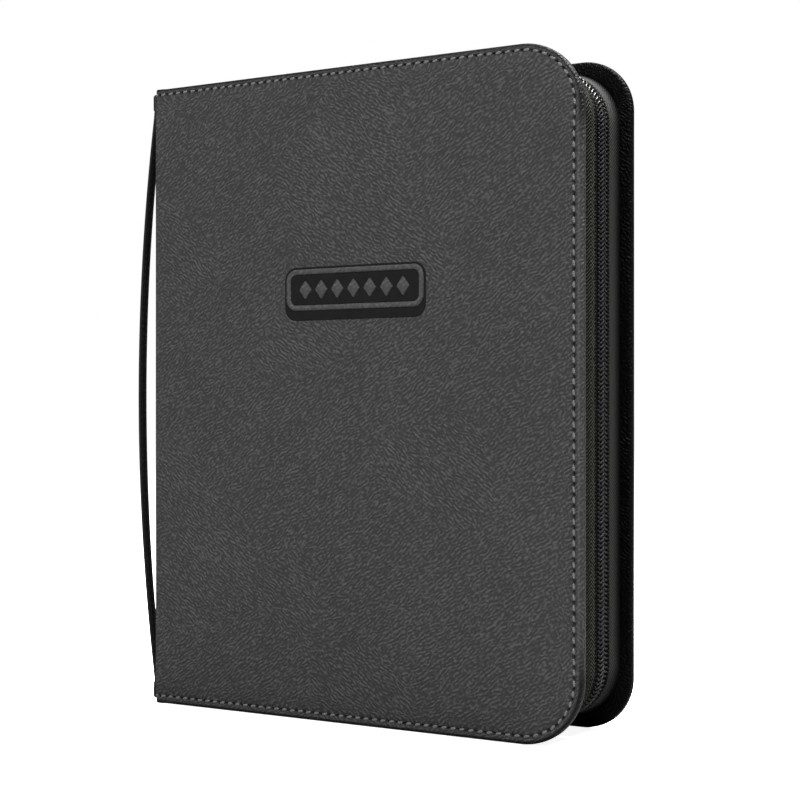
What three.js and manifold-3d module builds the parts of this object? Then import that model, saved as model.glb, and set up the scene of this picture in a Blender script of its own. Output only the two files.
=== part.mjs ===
// Zip-around trading card binder, standing upright on its bottom edge.
// Millimetres, +Z up. The spine is on the -X side, the front cover faces -Y.
// The binder is laid out in its own corner frame (X from the spine, Y from the
// front cover's outer face, Z from the bottom edge) and then centred over the origin.
import * as THREE from "three";
import { mergeVertices } from "three/addons/utils/BufferGeometryUtils.js";
import Module from "manifold-3d";

// Overall size
const WIDTH = 188.4;
const DEPTH = 44;
const HEIGHT = 245;
const FRONT_CORNER = 24;
const BACK_CORNER = 19.5;
const WALL_CORNER = 25;
const ARC_STEPS = 10;

// Cover build-up, from the outside in
const LEATHER = 0.7;
const PADDING = 0.5;
const BOARD = 1.4;
const LINING = 0.4;
const PLY_GAP = 0.1;
const RIM = 0.8;
const COVER = LEATHER + PADDING + BOARD + LINING + 3 * PLY_GAP;
const HINGE_GAP = 3.4;
const FIT_GAP = 0.3;

// Spine
const SPINE_BUILD = LEATHER + BOARD + LINING + 2 * PLY_GAP;
const SPINE_CORNER = 1.2;

// Zip wall between the covers
const WALL_INSET = 5.5;
const WALL = 1;
const WALL_START = 8;
const ZIP_Y = 28.8;
const COIL_WIDTH = 2.8;
const COIL_GAP = 1.2;
const COIL_HEIGHT = 2.2;
const FRONT_SEAM_Y = 13.6;
const BACK_SEAM_Y = 36.7;
const TAPE_EDGE = 0.4;
const STOP_LENGTH = 3;

// Slider and pull, on the straight top run
const SLIDER_LENGTH = 13;
const SLIDER_WIDTH = 8.4;
const PLATE = 1.2;
const PLATE_NOSE = 0.6;
const PLATE_SHOULDERS = [0.4, 0.5];
const POST = [3.2, 0.6];
const SLIDER_X = 15.5;
const PULL_LENGTH = 21;
const PULL_WIDTH = 5.4;
const PULL_THICKNESS = 1.1;
const PULL_NECK = 0.75;
const PULL_FLARE = 3;
const PULL_BAR = 1.1;
const PULL_EYE = [3.6, 1.8];
const PULL_LIFT = 0.85;
const BAIL_WIRE = 1.1;
const BAIL_HALF = 2.6;
const BAIL_RISE = 2.8;

// Carry strap, sewn along the front edge of the spine
const STRAP_WIDTH = 4.2;
const STRAP_THICKNESS = 1.4;
const STRAP_Y = 4.1;
const STRAP_BOW = 8.3;
const STRAP_STANDOFF = 1.9;
const STRAP_ENDS = [9, 236];
const STRAP_STEPS = 24;
const PATCH = [1.3, 7, 7];

// Card pages
const PAGE_COUNT = 20;
const PAGE_THICKNESS = 0.6;
const PAGE_PITCH = 1.62;
const PAGE_STAGGER = 0.8;
const PAGE_ROOT_X = 4.3;
const PAGE_TIP_X = 172;
const PAGE_Z = [15.5, 229.5];
const PAGE_CORNER = 3;
const ROOT_CLEARANCE = 0.6;
const BINDING_CLEARANCE = 1.1;

// Badge patch
const BADGE = [62, 0.6, 20];
const BADGE_CORNER = 5;
const BADGE_Z = 160.7;

const STRAP_REACH = STRAP_STANDOFF + STRAP_BOW + STRAP_THICKNESS / 2;
const BADGE_REACH = BADGE[1] + PLY_GAP;
const CENTRE_X = (WIDTH - STRAP_REACH) / 2;
const CENTRE_Y = (DEPTH - BADGE_REACH) / 2;

const wasm = await Module();
wasm.setup();

const finish = {
  leather: ["#454547", 0.62, 0],
  blackLeather: ["#0f0f10", 0.55, 0],
  foam: ["#3a3a3a", 0.95, 0],
  board: ["#8a7f70", 0.9, 0],
  lining: ["#1b1b1d", 0.9, 0],
  tape: ["#2b2b2b", 0.85, 0],
  coil: ["#333436", 0.4, 0],
  metal: ["#3c3d40", 0.35, 0.9],
  film: ["#16171a", 0.35, 0],
};

function material(name) {
  const [color, roughness, metalness] = finish[name];
  return new THREE.MeshStandardMaterial({ color, roughness, metalness });
}

function part(name, geometry, look) {
  const mesh = new THREE.Mesh(geometry, material(look));
  mesh.name = name;
  return mesh;
}

// A geometry as a manifold solid, and a manifold solid as a geometry.
function toSolid(geometry) {
  const bare = geometry.clone();
  bare.deleteAttribute("normal");
  bare.deleteAttribute("uv");
  const merged = mergeVertices(bare, 1e-4);
  return new wasm.Manifold(
    new wasm.Mesh({
      numProp: 3,
      vertProperties: merged.attributes.position.array,
      triVerts: new Uint32Array(merged.index.array),
    }),
  );
}

function toGeometry(solid) {
  const mesh = solid.getMesh();
  const geometry = new THREE.BufferGeometry();
  geometry.setAttribute("position", new THREE.BufferAttribute(mesh.vertProperties, 3));
  geometry.setIndex(new THREE.BufferAttribute(mesh.triVerts, 1));
  geometry.computeVertexNormals();
  return geometry;
}

function cut(geometry, ...tools) {
  const solids = tools.map(toSolid);
  return toGeometry(solids.reduce((left, tool) => left.subtract(tool), toSolid(geometry)));
}

function join(...geometries) {
  const [first, ...rest] = geometries.map(toSolid);
  return toGeometry(rest.reduce((sum, next) => sum.add(next), first));
}

// A box from its lowest and highest corners.
function box(low, high) {
  const size = high.map((value, axis) => value - low[axis]);
  const middle = high.map((value, axis) => (value + low[axis]) / 2);
  return new THREE.BoxGeometry(...size).translate(...middle);
}

// An outline in X and Z, extruded along Y between two depths.
function slab(outline, yLow, yHigh) {
  const options = { depth: yHigh - yLow, bevelEnabled: false, curveSegments: ARC_STEPS };
  return new THREE.ExtrudeGeometry(outline, options).rotateX(Math.PI / 2).translate(0, yHigh, 0);
}

// An outline in X and Y, extruded up between two heights.
function prism(outline, zLow, zHigh) {
  const options = { depth: zHigh - zLow, bevelEnabled: false, curveSegments: ARC_STEPS };
  return new THREE.ExtrudeGeometry(outline, options).translate(0, 0, zLow);
}

// The cover's outline: square at the spine, round at the fore-edge.
function coverOutline(corner, inset) {
  const radius = corner - inset;
  const left = HINGE_GAP + inset;
  const bend = WIDTH - corner;
  const outline = new THREE.Shape();
  outline.moveTo(left, inset);
  outline.lineTo(bend, inset);
  outline.absarc(bend, corner, radius, -Math.PI / 2, 0);
  outline.lineTo(WIDTH - inset, HEIGHT - corner);
  outline.absarc(bend, HEIGHT - corner, radius, 0, Math.PI / 2);
  outline.lineTo(left, HEIGHT - inset);
  outline.closePath();
  return outline;
}

// A U-shaped band that follows the cover's edge from the spine, round, and back to the spine.
function wallOutline(inset, thickness) {
  const outer = WALL_CORNER - inset;
  const inner = outer - thickness;
  const bend = WIDTH - WALL_CORNER;
  const topBend = HEIGHT - WALL_CORNER;
  const outline = new THREE.Shape();
  outline.moveTo(WALL_START, inset);
  outline.lineTo(bend, inset);
  outline.absarc(bend, WALL_CORNER, outer, -Math.PI / 2, 0);
  outline.lineTo(WIDTH - inset, topBend);
  outline.absarc(bend, topBend, outer, 0, Math.PI / 2);
  outline.lineTo(WALL_START, HEIGHT - inset);
  outline.lineTo(WALL_START, HEIGHT - inset - thickness);
  outline.lineTo(bend, HEIGHT - inset - thickness);
  outline.absarc(bend, topBend, inner, Math.PI / 2, 0, true);
  outline.lineTo(WIDTH - inset - thickness, WALL_CORNER);
  outline.absarc(bend, WALL_CORNER, inner, 0, -Math.PI / 2, true);
  outline.lineTo(WALL_START, inset + thickness);
  outline.closePath();
  return outline;
}

// Leather turned over the cover's edges: a shallow tray that holds the padding, board and lining.
function coverTray(corner, yOuter, inward) {
  const yInner = yOuter + inward * COVER;
  const yFloor = yOuter + inward * LEATHER;
  const yBeyond = yInner + inward;
  const body = slab(coverOutline(corner, 0), Math.min(yOuter, yInner), Math.max(yOuter, yInner));
  const hollow = slab(coverOutline(corner, RIM), Math.min(yFloor, yBeyond), Math.max(yFloor, yBeyond));
  return cut(body, hollow);
}

function coverPly(corner, yOuter, inward, start, thickness) {
  const near = yOuter + inward * start;
  const far = near + inward * thickness;
  return slab(coverOutline(corner, RIM + PLY_GAP), Math.min(near, far), Math.max(near, far));
}

function cover(side, corner, yOuter, inward, look) {
  const group = new THREE.Group();
  const add = (ply, geometry, finishName) => group.add(part(side + "_cover_" + ply, geometry, finishName));
  const ply = (start, thickness) => coverPly(corner, yOuter, inward, start, thickness);
  const boardStart = LEATHER + PADDING + 2 * PLY_GAP;
  add("leather", coverTray(corner, yOuter, inward), look);
  add("padding", ply(LEATHER + PLY_GAP, PADDING), "foam");
  add("board", ply(boardStart, BOARD), "board");
  add("lining", ply(boardStart + BOARD + PLY_GAP, LINING), "lining");
  return group;
}

// The fabric wall, zip tape and coil half that belong to one cover.
function zipHalf(side, wallY, tapeY, coilY) {
  const group = new THREE.Group();
  const wall = wallOutline(WALL_INSET, WALL);
  const tape = wallOutline(WALL_INSET + (WALL - TAPE_EDGE) / 2, TAPE_EDGE);
  const coil = wallOutline(WALL_INSET + (WALL - COIL_HEIGHT) / 2, COIL_HEIGHT);
  group.add(part(side + "_gusset", slab(wall, ...wallY), "lining"));
  group.add(part(side + "_zip_tape", slab(tape, ...tapeY), "tape"));
  group.add(part(side + "_zip_coil", slab(coil, ...coilY), "coil"));
  return group;
}

function frontZip() {
  const coilY = [ZIP_Y - COIL_GAP / 2 - COIL_WIDTH, ZIP_Y - COIL_GAP / 2];
  const wallY = [COVER + FIT_GAP, FRONT_SEAM_Y];
  return zipHalf("front", wallY, [FRONT_SEAM_Y + FIT_GAP, coilY[0] - FIT_GAP], coilY);
}

function backZip() {
  const coilY = [ZIP_Y + COIL_GAP / 2, ZIP_Y + COIL_GAP / 2 + COIL_WIDTH];
  const wallY = [BACK_SEAM_Y, DEPTH - COVER - FIT_GAP];
  return zipHalf("back", wallY, [coilY[1] + FIT_GAP, BACK_SEAM_Y - FIT_GAP], coilY);
}

// Small metal clamps that close the ends of the coil, beside the spine.
function zipStops() {
  const group = new THREE.Group();
  const half = COIL_HEIGHT / 2;
  const right = WALL_START - FIT_GAP;
  const left = right - STOP_LENGTH;
  const zTop = HEIGHT - WALL_INSET - WALL / 2;
  const zBottom = WALL_INSET + WALL / 2;
  const front = [ZIP_Y - COIL_GAP / 2 - COIL_WIDTH, ZIP_Y - FIT_GAP / 2];
  const back = [ZIP_Y + FIT_GAP / 2, ZIP_Y + COIL_GAP / 2 + COIL_WIDTH];
  for (const [level, z] of [["upper", zTop], ["lower", zBottom]]) {
    for (const [side, span] of [["front", front], ["back", back]]) {
      const clamp = box([left, span[0], z - half], [right, span[1], z + half]);
      group.add(part(side + "_zip_stop_" + level, clamp, "metal"));
    }
  }
  return group;
}

// Spine leather: a channel round the spine board whose returns reach the two covers.
function spineLeather() {
  const reach = HINGE_GAP - FIT_GAP;
  const r = SPINE_CORNER;
  const outline = new THREE.Shape();
  outline.moveTo(reach, 0);
  outline.lineTo(reach, LEATHER);
  outline.lineTo(LEATHER, LEATHER);
  outline.lineTo(LEATHER, DEPTH - LEATHER);
  outline.lineTo(reach, DEPTH - LEATHER);
  outline.lineTo(reach, DEPTH);
  outline.lineTo(r, DEPTH);
  outline.absarc(r, DEPTH - r, r, Math.PI / 2, Math.PI);
  outline.lineTo(0, r);
  outline.absarc(r, r, r, Math.PI, 1.5 * Math.PI);
  outline.closePath();
  const turnedEdge = (zLow, zHigh) =>
    box([LEATHER / 2, COVER + FIT_GAP, zLow], [SPINE_BUILD, DEPTH - COVER - FIT_GAP, zHigh]);
  return join(prism(outline, 0, HEIGHT), turnedEdge(0, RIM), turnedEdge(HEIGHT - RIM, HEIGHT));
}

// The welded margins of all the pages, a ridge highest in the middle of the stack.
function pageBinding() {
  const yFirst = pageY(0) - PAGE_PITCH / 2;
  const yLast = pageY(PAGE_COUNT - 1) + PAGE_PITCH / 2;
  const foot = SPINE_BUILD + PLY_GAP;
  const shoulder = PAGE_ROOT_X - BINDING_CLEARANCE;
  const ridge = shoulder + (PAGE_STAGGER * (PAGE_COUNT - 1)) / 2;
  const outline = new THREE.Shape();
  outline.moveTo(foot, yFirst);
  outline.lineTo(shoulder, yFirst);
  outline.lineTo(ridge, DEPTH / 2);
  outline.lineTo(shoulder, yLast);
  outline.lineTo(foot, yLast);
  outline.closePath();
  return prism(outline, ...PAGE_Z);
}

function spine() {
  const group = new THREE.Group();
  const y = [COVER + FIT_GAP, DEPTH - COVER - FIT_GAP];
  const z = [RIM + PLY_GAP, HEIGHT - RIM - PLY_GAP];
  const boardX = LEATHER + PLY_GAP;
  const liningX = boardX + BOARD + PLY_GAP;
  group.add(part("spine_leather", spineLeather(), "leather"));
  group.add(part("spine_board", box([boardX, y[0], z[0]], [boardX + BOARD, y[1], z[1]]), "board"));
  group.add(part("spine_lining", box([liningX, y[0], z[0]], [liningX + LINING, y[1], z[1]]), "lining"));
  group.add(part("page_binding", pageBinding(), "film"));
  return group;
}

function pageY(index) {
  return DEPTH / 2 + (index - (PAGE_COUNT - 1) / 2) * PAGE_PITCH;
}

// The line each page turns about steps out towards the middle, so that turned pages stack.
function pageRootX(index) {
  const fromOutside = Math.min(index, PAGE_COUNT - 1 - index);
  return PAGE_ROOT_X + fromOutside * PAGE_STAGGER;
}

function pageOutline(xStart) {
  const r = PAGE_CORNER;
  const [low, high] = PAGE_Z;
  const outline = new THREE.Shape();
  outline.moveTo(xStart, low);
  outline.lineTo(PAGE_TIP_X - r, low);
  outline.absarc(PAGE_TIP_X - r, low + r, r, -Math.PI / 2, 0);
  outline.absarc(PAGE_TIP_X - r, high - r, r, 0, Math.PI / 2);
  outline.lineTo(xStart, high);
  outline.closePath();
  return outline;
}

function pages() {
  const group = new THREE.Group();
  for (let index = 0; index < PAGE_COUNT; index++) {
    const middle = pageY(index);
    const outline = pageOutline(pageRootX(index) + ROOT_CLEARANCE);
    const sheet = slab(outline, middle - PAGE_THICKNESS / 2, middle + PAGE_THICKNESS / 2);
    group.add(part("pocket_page_" + String(index + 1).padStart(2, "0"), sheet, "film"));
  }
  return group;
}

// Slider: two plates above and below the coil, joined by the divider between its halves.
function sliderBody() {
  const half = SLIDER_WIDTH / 2;
  const end = SLIDER_LENGTH / 2;
  const nose = half * PLATE_NOSE;
  const [rear, front] = PLATE_SHOULDERS.map((share) => share * end);
  const outline = new THREE.Shape();
  outline.moveTo(-end, -nose);
  outline.lineTo(-rear, -half);
  outline.lineTo(front, -half);
  outline.lineTo(end, -nose);
  outline.lineTo(end, nose);
  outline.lineTo(front, half);
  outline.lineTo(-rear, half);
  outline.lineTo(-end, nose);
  outline.closePath();
  const near = COIL_HEIGHT / 2 + FIT_GAP;
  const [postX, postY] = POST.map((size) => size / 2);
  const postZ = near + PLATE / 2;
  const post = box([-postX, -postY, -postZ], [postX, postY, postZ]);
  return join(prism(outline, -near - PLATE, -near), post, prism(outline, near, near + PLATE));
}

// Bail: a low wire arch on the slider that the pull hangs on.
function sliderBail() {
  const base = COIL_HEIGHT / 2 + FIT_GAP + PLATE + PLY_GAP;
  const w = BAIL_WIRE;
  const outline = new THREE.Shape();
  outline.moveTo(-BAIL_HALF, 0);
  outline.lineTo(-BAIL_HALF + w, 0);
  outline.lineTo(-BAIL_HALF + w, BAIL_RISE - w);
  outline.lineTo(BAIL_HALF - w, BAIL_RISE - w);
  outline.lineTo(BAIL_HALF - w, 0);
  outline.lineTo(BAIL_HALF, 0);
  outline.lineTo(BAIL_HALF, BAIL_RISE - w / 2);
  outline.lineTo(BAIL_HALF - w / 2, BAIL_RISE);
  outline.lineTo(-BAIL_HALF + w / 2, BAIL_RISE);
  outline.lineTo(-BAIL_HALF, BAIL_RISE - w / 2);
  outline.closePath();
  return slab(outline, -w / 2, w / 2).translate(0, 0, base);
}

// Pull tab: its cross bar passes under the bail and the tab lies along the coil.
function pullTab() {
  const half = PULL_WIDTH / 2;
  const neck = half * PULL_NECK;
  const bar = PULL_BAR / 2;
  const [eyeEnd, eyeWidth] = PULL_EYE;
  const flare = eyeEnd + PULL_FLARE;
  const tipCentre = PULL_LENGTH - half;
  const outline = new THREE.Shape();
  outline.moveTo(-bar, -neck);
  outline.lineTo(eyeEnd, -neck);
  outline.lineTo(flare, -half);
  outline.lineTo(tipCentre, -half);
  outline.absarc(tipCentre, 0, half, -Math.PI / 2, Math.PI / 2);
  outline.lineTo(flare, half);
  outline.lineTo(eyeEnd, neck);
  outline.lineTo(-bar, neck);
  outline.closePath();
  const eye = new THREE.Path();
  eye.moveTo(bar, -eyeWidth / 2);
  eye.lineTo(eyeEnd, -eyeWidth / 2);
  eye.lineTo(eyeEnd, eyeWidth / 2);
  eye.lineTo(bar, eyeWidth / 2);
  eye.closePath();
  outline.holes.push(eye);
  return prism(outline, -PULL_THICKNESS / 2, PULL_THICKNESS / 2);
}

function slider() {
  const group = new THREE.Group();
  const pull = part("pull_tab", pullTab(), "metal");
  pull.position.z = COIL_HEIGHT / 2 + FIT_GAP + PLATE + PULL_LIFT;
  group.add(part("slider_body", sliderBody(), "metal"));
  group.add(part("slider_bail", sliderBail(), "metal"));
  group.add(pull);
  group.position.set(SLIDER_X, ZIP_Y, HEIGHT - WALL_INSET - WALL / 2);
  return group;
}

// The strap bows away from the spine in a shallow arc between its two sewn ends.
function strapBand() {
  const [low, high] = STRAP_ENDS;
  const middle = (low + high) / 2;
  const half = (high - low) / 2;
  const point = (step, offset) => {
    const z = low + ((high - low) * step) / STRAP_STEPS;
    const along = (z - middle) / half;
    return [-STRAP_STANDOFF - STRAP_BOW * (1 - along * along) + offset, z];
  };
  const outline = new THREE.Shape();
  outline.moveTo(...point(0, STRAP_THICKNESS / 2));
  for (let step = 1; step <= STRAP_STEPS; step++) outline.lineTo(...point(step, STRAP_THICKNESS / 2));
  for (let step = STRAP_STEPS; step >= 0; step--) outline.lineTo(...point(step, -STRAP_THICKNESS / 2));
  outline.closePath();
  return slab(outline, STRAP_Y - STRAP_WIDTH / 2, STRAP_Y + STRAP_WIDTH / 2);
}

function strap() {
  const group = new THREE.Group();
  const [thickness, width, height] = PATCH;
  const [low, high] = STRAP_ENDS;
  const patch = (zLow) =>
    box([-PLY_GAP - thickness, STRAP_Y - width / 2, zLow], [-PLY_GAP, STRAP_Y + width / 2, zLow + height]);
  group.add(part("carry_strap", strapBand(), "blackLeather"));
  group.add(part("strap_patch_upper", patch(high + FIT_GAP), "blackLeather"));
  group.add(part("strap_patch_lower", patch(low - FIT_GAP - height), "blackLeather"));
  return group;
}

// A plain rounded patch on the front cover.
function badge() {
  const [width, thickness, height] = BADGE;
  const r = BADGE_CORNER;
  const left = (WIDTH - width) / 2;
  const right = left + width;
  const low = BADGE_Z - height / 2;
  const high = low + height;
  const outline = new THREE.Shape();
  outline.absarc(right - r, low + r, r, -Math.PI / 2, 0);
  outline.absarc(right - r, high - r, r, 0, Math.PI / 2);
  outline.absarc(left + r, high - r, r, Math.PI / 2, Math.PI);
  outline.absarc(left + r, low + r, r, Math.PI, 1.5 * Math.PI);
  outline.closePath();
  return slab(outline, -PLY_GAP - thickness, -PLY_GAP);
}

const binder = new THREE.Group();
binder.add(cover("front", FRONT_CORNER, 0, 1, "leather"));
binder.add(cover("back", BACK_CORNER, DEPTH, -1, "blackLeather"));
binder.add(part("cover_badge", badge(), "blackLeather"));
binder.add(frontZip(), backZip(), zipStops());
binder.add(spine(), pages(), slider(), strap());
binder.position.set(-CENTRE_X, -CENTRE_Y, 0);

const root = new THREE.Group();
root.add(binder);

export default root;
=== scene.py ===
"""Zip-around trading card binder: leather, stitching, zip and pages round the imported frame."""
import math
from collections import namedtuple

import bpy
import numpy as np
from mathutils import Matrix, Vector
from mathutils.geometry import delaunay_2d_cdt


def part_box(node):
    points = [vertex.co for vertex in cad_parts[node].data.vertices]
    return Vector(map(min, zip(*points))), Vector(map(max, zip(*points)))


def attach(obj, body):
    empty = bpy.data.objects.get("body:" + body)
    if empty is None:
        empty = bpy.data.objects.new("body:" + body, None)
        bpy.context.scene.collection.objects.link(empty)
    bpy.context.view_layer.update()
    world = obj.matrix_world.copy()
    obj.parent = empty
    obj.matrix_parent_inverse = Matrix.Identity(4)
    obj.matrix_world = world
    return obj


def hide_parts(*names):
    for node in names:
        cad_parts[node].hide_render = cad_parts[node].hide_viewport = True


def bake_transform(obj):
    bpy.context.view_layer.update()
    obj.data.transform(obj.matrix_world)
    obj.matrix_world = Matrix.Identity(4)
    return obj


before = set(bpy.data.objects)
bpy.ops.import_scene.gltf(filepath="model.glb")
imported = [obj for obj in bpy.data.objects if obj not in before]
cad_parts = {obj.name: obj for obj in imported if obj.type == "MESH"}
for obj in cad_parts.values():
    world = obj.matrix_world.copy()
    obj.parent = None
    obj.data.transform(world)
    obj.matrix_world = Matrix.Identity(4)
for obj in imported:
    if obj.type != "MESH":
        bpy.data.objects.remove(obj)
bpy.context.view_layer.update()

# The binder is laid out in millimetres from its own corner: X from the spine's outer face,
# Y from the front cover's outer face, Z from the bottom edge.
MM = 0.001
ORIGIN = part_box("spine_leather")[0] / MM
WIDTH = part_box("front_cover_leather")[1].x / MM - ORIGIN.x
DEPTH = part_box("back_cover_leather")[1].y / MM - ORIGIN.y
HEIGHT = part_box("front_cover_leather")[1].z / MM
FRONT_CORNER = 24.0
BACK_CORNER = 19.5
WALL_CORNER = 25.0

# Leather: how thick it is with its filling over a cover, at the hinge and over the spine; the
# spine's corner; the hide itself; the steps round the rim and over the face; where a highlight
# is painted along the rim; and how far the black hide laps over the spine and stands out there.
COVER_THICK = 3.3
HINGE_THICK = 0.95
SPINE_THICK = 2.7
SPINE_R = 1.0
SKIN = 0.45
RIM_STEP = 0.46
RIM_HIGHLIGHT_INSET = 1.3
LAP = 5.0
LAP_RISE = 0.5
FACE_STEP = 3.7
FACE_CLEAR = 1.3

# Stitching: the seam, its stitches, and the needle holes they pull into the hide.
STITCH_INSET = 3.3
STITCH_PITCH = 3.7
STITCH_LENGTH = 2.2
STITCH_SLANT = 0.16
HOLE_REACH = 0.6
HOLE_DEPTH = 0.5

# Zip wall: how far it stands inside the covers, where it starts beside the spine, the Y of the
# zip's middle, and the pitch of its teeth.
WALL_INSET = 5.5
WALL_START = 8.0
ZIP_Y = 28.8
TOOTH_PITCH = 1.65


# ---------------------------------------------------------------- camera, floor and light

def book(x, y, z):
    """A point of the binder's own layout in the row frame, in metres."""
    return Vector(((x + ORIGIN.x) * MM, (y + ORIGIN.y) * MM, z * MM))


VIEW = math.radians(31.76)
EYE_DISTANCE = 633.7
EYE_SIDE = 17.7
EYE_HEIGHT = 116.3
LENS = 76.86
SHIFT = 0.0146


def make_camera():
    data = bpy.data.cameras.new("camera")
    data.sensor_width = 36
    data.lens = LENS
    data.shift_y = SHIFT
    camera = bpy.data.objects.new("camera", data)
    bpy.context.scene.collection.objects.link(camera)
    eye_x = WIDTH / 2 + EYE_DISTANCE * math.sin(VIEW) + EYE_SIDE * math.cos(VIEW)
    eye_y = -EYE_DISTANCE * math.cos(VIEW) + EYE_SIDE * math.sin(VIEW)
    camera.location = book(eye_x, eye_y, EYE_HEIGHT)
    camera.rotation_euler = (math.pi / 2, 0, VIEW)
    bpy.context.scene.camera = camera


def area_light(name, place, target, size, watts):
    data = bpy.data.lights.new(name, "AREA")
    data.shape = "RECTANGLE"
    data.size, data.size_y = size
    data.energy = watts
    light = bpy.data.objects.new(name, data)
    bpy.context.scene.collection.objects.link(light)
    light.location = place
    light.rotation_euler = (Vector(target) - Vector(place)).to_track_quat("-Z", "Y").to_euler()


def seen_level(tree, socket, unseen, shown):
    """Drives a socket with one value for the camera's own rays and another for the rest."""
    level = tree.nodes.new("ShaderNodeMapRange")
    level.inputs["To Min"].default_value = unseen
    level.inputs["To Max"].default_value = shown
    path = tree.nodes.new("ShaderNodeLightPath")
    tree.links.new(path.outputs["Is Camera Ray"], level.inputs["Value"])
    tree.links.new(level.outputs["Result"], socket)


def make_studio():
    scene = bpy.context.scene
    scene.view_settings.view_transform = "Standard"
    world = bpy.data.worlds.new("studio")
    scene.world = world
    world.use_nodes = True
    tree = world.node_tree
    background = tree.nodes["Background"]
    background.inputs["Color"].default_value = (1, 1, 1, 1)
    seen_level(tree, background.inputs["Strength"], 0.14, 1.0)

    area_light("key", (0.38, -1.05, 1.2), (0, 0, 0.12), (0.6, 0.6), 26)
    area_light("top", (0.34, 0.2, 1.3), (0.05, 0, 0.1), (0.6, 0.6), 85)
    area_light("front", (-0.9, -1.3, 0.65), (0, 0, 0.12), (0.7, 0.9), 9)

    mesh = bpy.data.meshes.new("floor")
    half = 4.0
    corners = [(-half, -half, 0), (half, -half, 0), (half, half, 0), (-half, half, 0)]
    mesh.from_pydata(corners, [], [(0, 1, 2, 3)])
    floor = bpy.data.objects.new("floor", mesh)
    scene.collection.objects.link(floor)
    floor.location.z = -0.0003
    material = bpy.data.materials.new("floor")
    material.use_nodes = True
    shader = material.node_tree.nodes["Principled BSDF"]
    shader.inputs["Roughness"].default_value = 0.9
    shader.inputs["Emission Color"].default_value = (1, 1, 1, 1)
    seen_level(material.node_tree, shader.inputs["Base Color"], 0.25, 0.93)
    seen_level(material.node_tree, shader.inputs["Emission Strength"], 0.0, 0.9)
    mesh.materials.append(material)


make_camera()
make_studio()


# ---------------------------------------------------------------- materials

class Look:
    """A Principled material with helpers for its procedural nodes, in millimetres."""

    def __init__(self, name, color, roughness, specular=0.5, metallic=0.0, rest=True):
        self.material = bpy.data.materials.new(name)
        self.material.use_nodes = True
        self.tree = self.material.node_tree
        self.shader = self.tree.nodes["Principled BSDF"]
        self.color = (*color, 1)
        self.set("Base Color", self.color)
        self.set("Roughness", roughness)
        self.set("Specular IOR Level", specular)
        self.set("Metallic", metallic)
        if rest:
            source = self.tree.nodes.new("ShaderNodeAttribute")
            source.attribute_name = "rest"
            self.coords = source.outputs["Vector"]
        else:
            source = self.tree.nodes.new("ShaderNodeTexCoord")
            self.coords = self.scaled(source.outputs["Object"], (1 / MM,) * 3)

    def set(self, socket, value):
        self.shader.inputs[socket].default_value = value

    def node(self, kind, inputs=None, **settings):
        made = self.tree.nodes.new("ShaderNode" + kind)
        for key, value in settings.items():
            setattr(made, key, value)
        for key, value in (inputs or {}).items():
            if isinstance(value, bpy.types.NodeSocket):
                self.tree.links.new(value, made.inputs[key])
            else:
                made.inputs[key].default_value = value
        return made

    def scaled(self, source, scale):
        return self.node("Mapping", {"Vector": source, "Scale": scale}).outputs["Vector"]

    def math(self, operation, first, second=0.0):
        return self.node("Math", {0: first, 1: second}, operation=operation).outputs[0]

    def times(self, first, second):
        return self.math("MULTIPLY", first, second)

    def vector(self, operation, first, second):
        return self.node("VectorMath", {0: first, 1: second}, operation=operation).outputs[0]

    def added(self, value, noise, amount):
        """A value with a 0 to 1 noise added to it, up and down."""
        centred = self.math("SUBTRACT", noise, 0.5)
        return self.math("ADD", value, self.times(centred, amount))

    def noise(self, source, scale, detail=2.0, roughness=0.5):
        inputs = {"Vector": source, "Scale": scale, "Detail": detail, "Roughness": roughness}
        return self.node("TexNoise", inputs).outputs["Fac"]

    def span(self, value, low, high, to_low=0.0, to_high=1.0):
        inputs = {"Value": value, "From Min": low, "From Max": high}
        inputs.update({"To Min": to_low, "To Max": to_high})
        return self.node("MapRange", inputs, interpolation_type="SMOOTHSTEP").outputs["Result"]

    def mix(self, share, first, second):
        inputs = {"Factor": share, 6: first, 7: second}
        made = self.node("Mix", inputs, data_type="RGBA")
        return made.outputs[2]

    def blend_value(self, share, first, second):
        made = self.node("Mix", {"Factor": share, 2: first, 3: second}, data_type="FLOAT")
        return made.outputs[0]

    def shade(self, value, low, high):
        """Base colour that runs from low to high times the plain colour with a 0 to 1 value."""
        first = tuple(channel * low for channel in self.color[:3]) + (1,)
        second = tuple(channel * high for channel in self.color[:3]) + (1,)
        return self.mix(value, first, second)

    def link(self, socket, source):
        self.tree.links.new(source, self.shader.inputs[socket])

    def bump(self, height, distance, strength=1.0):
        """Distance is the relief's depth in millimetres."""
        inputs = {"Height": height, "Distance": distance * MM, "Strength": strength}
        if self.shader.inputs["Normal"].links:
            inputs["Normal"] = self.shader.inputs["Normal"].links[0].from_socket
        made = self.node("Bump", inputs)
        self.link("Normal", made.outputs["Normal"])


# Colour that the painted shade is mixed towards.
SHADOW = (0.0008, 0.0008, 0.0008, 1)


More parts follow.
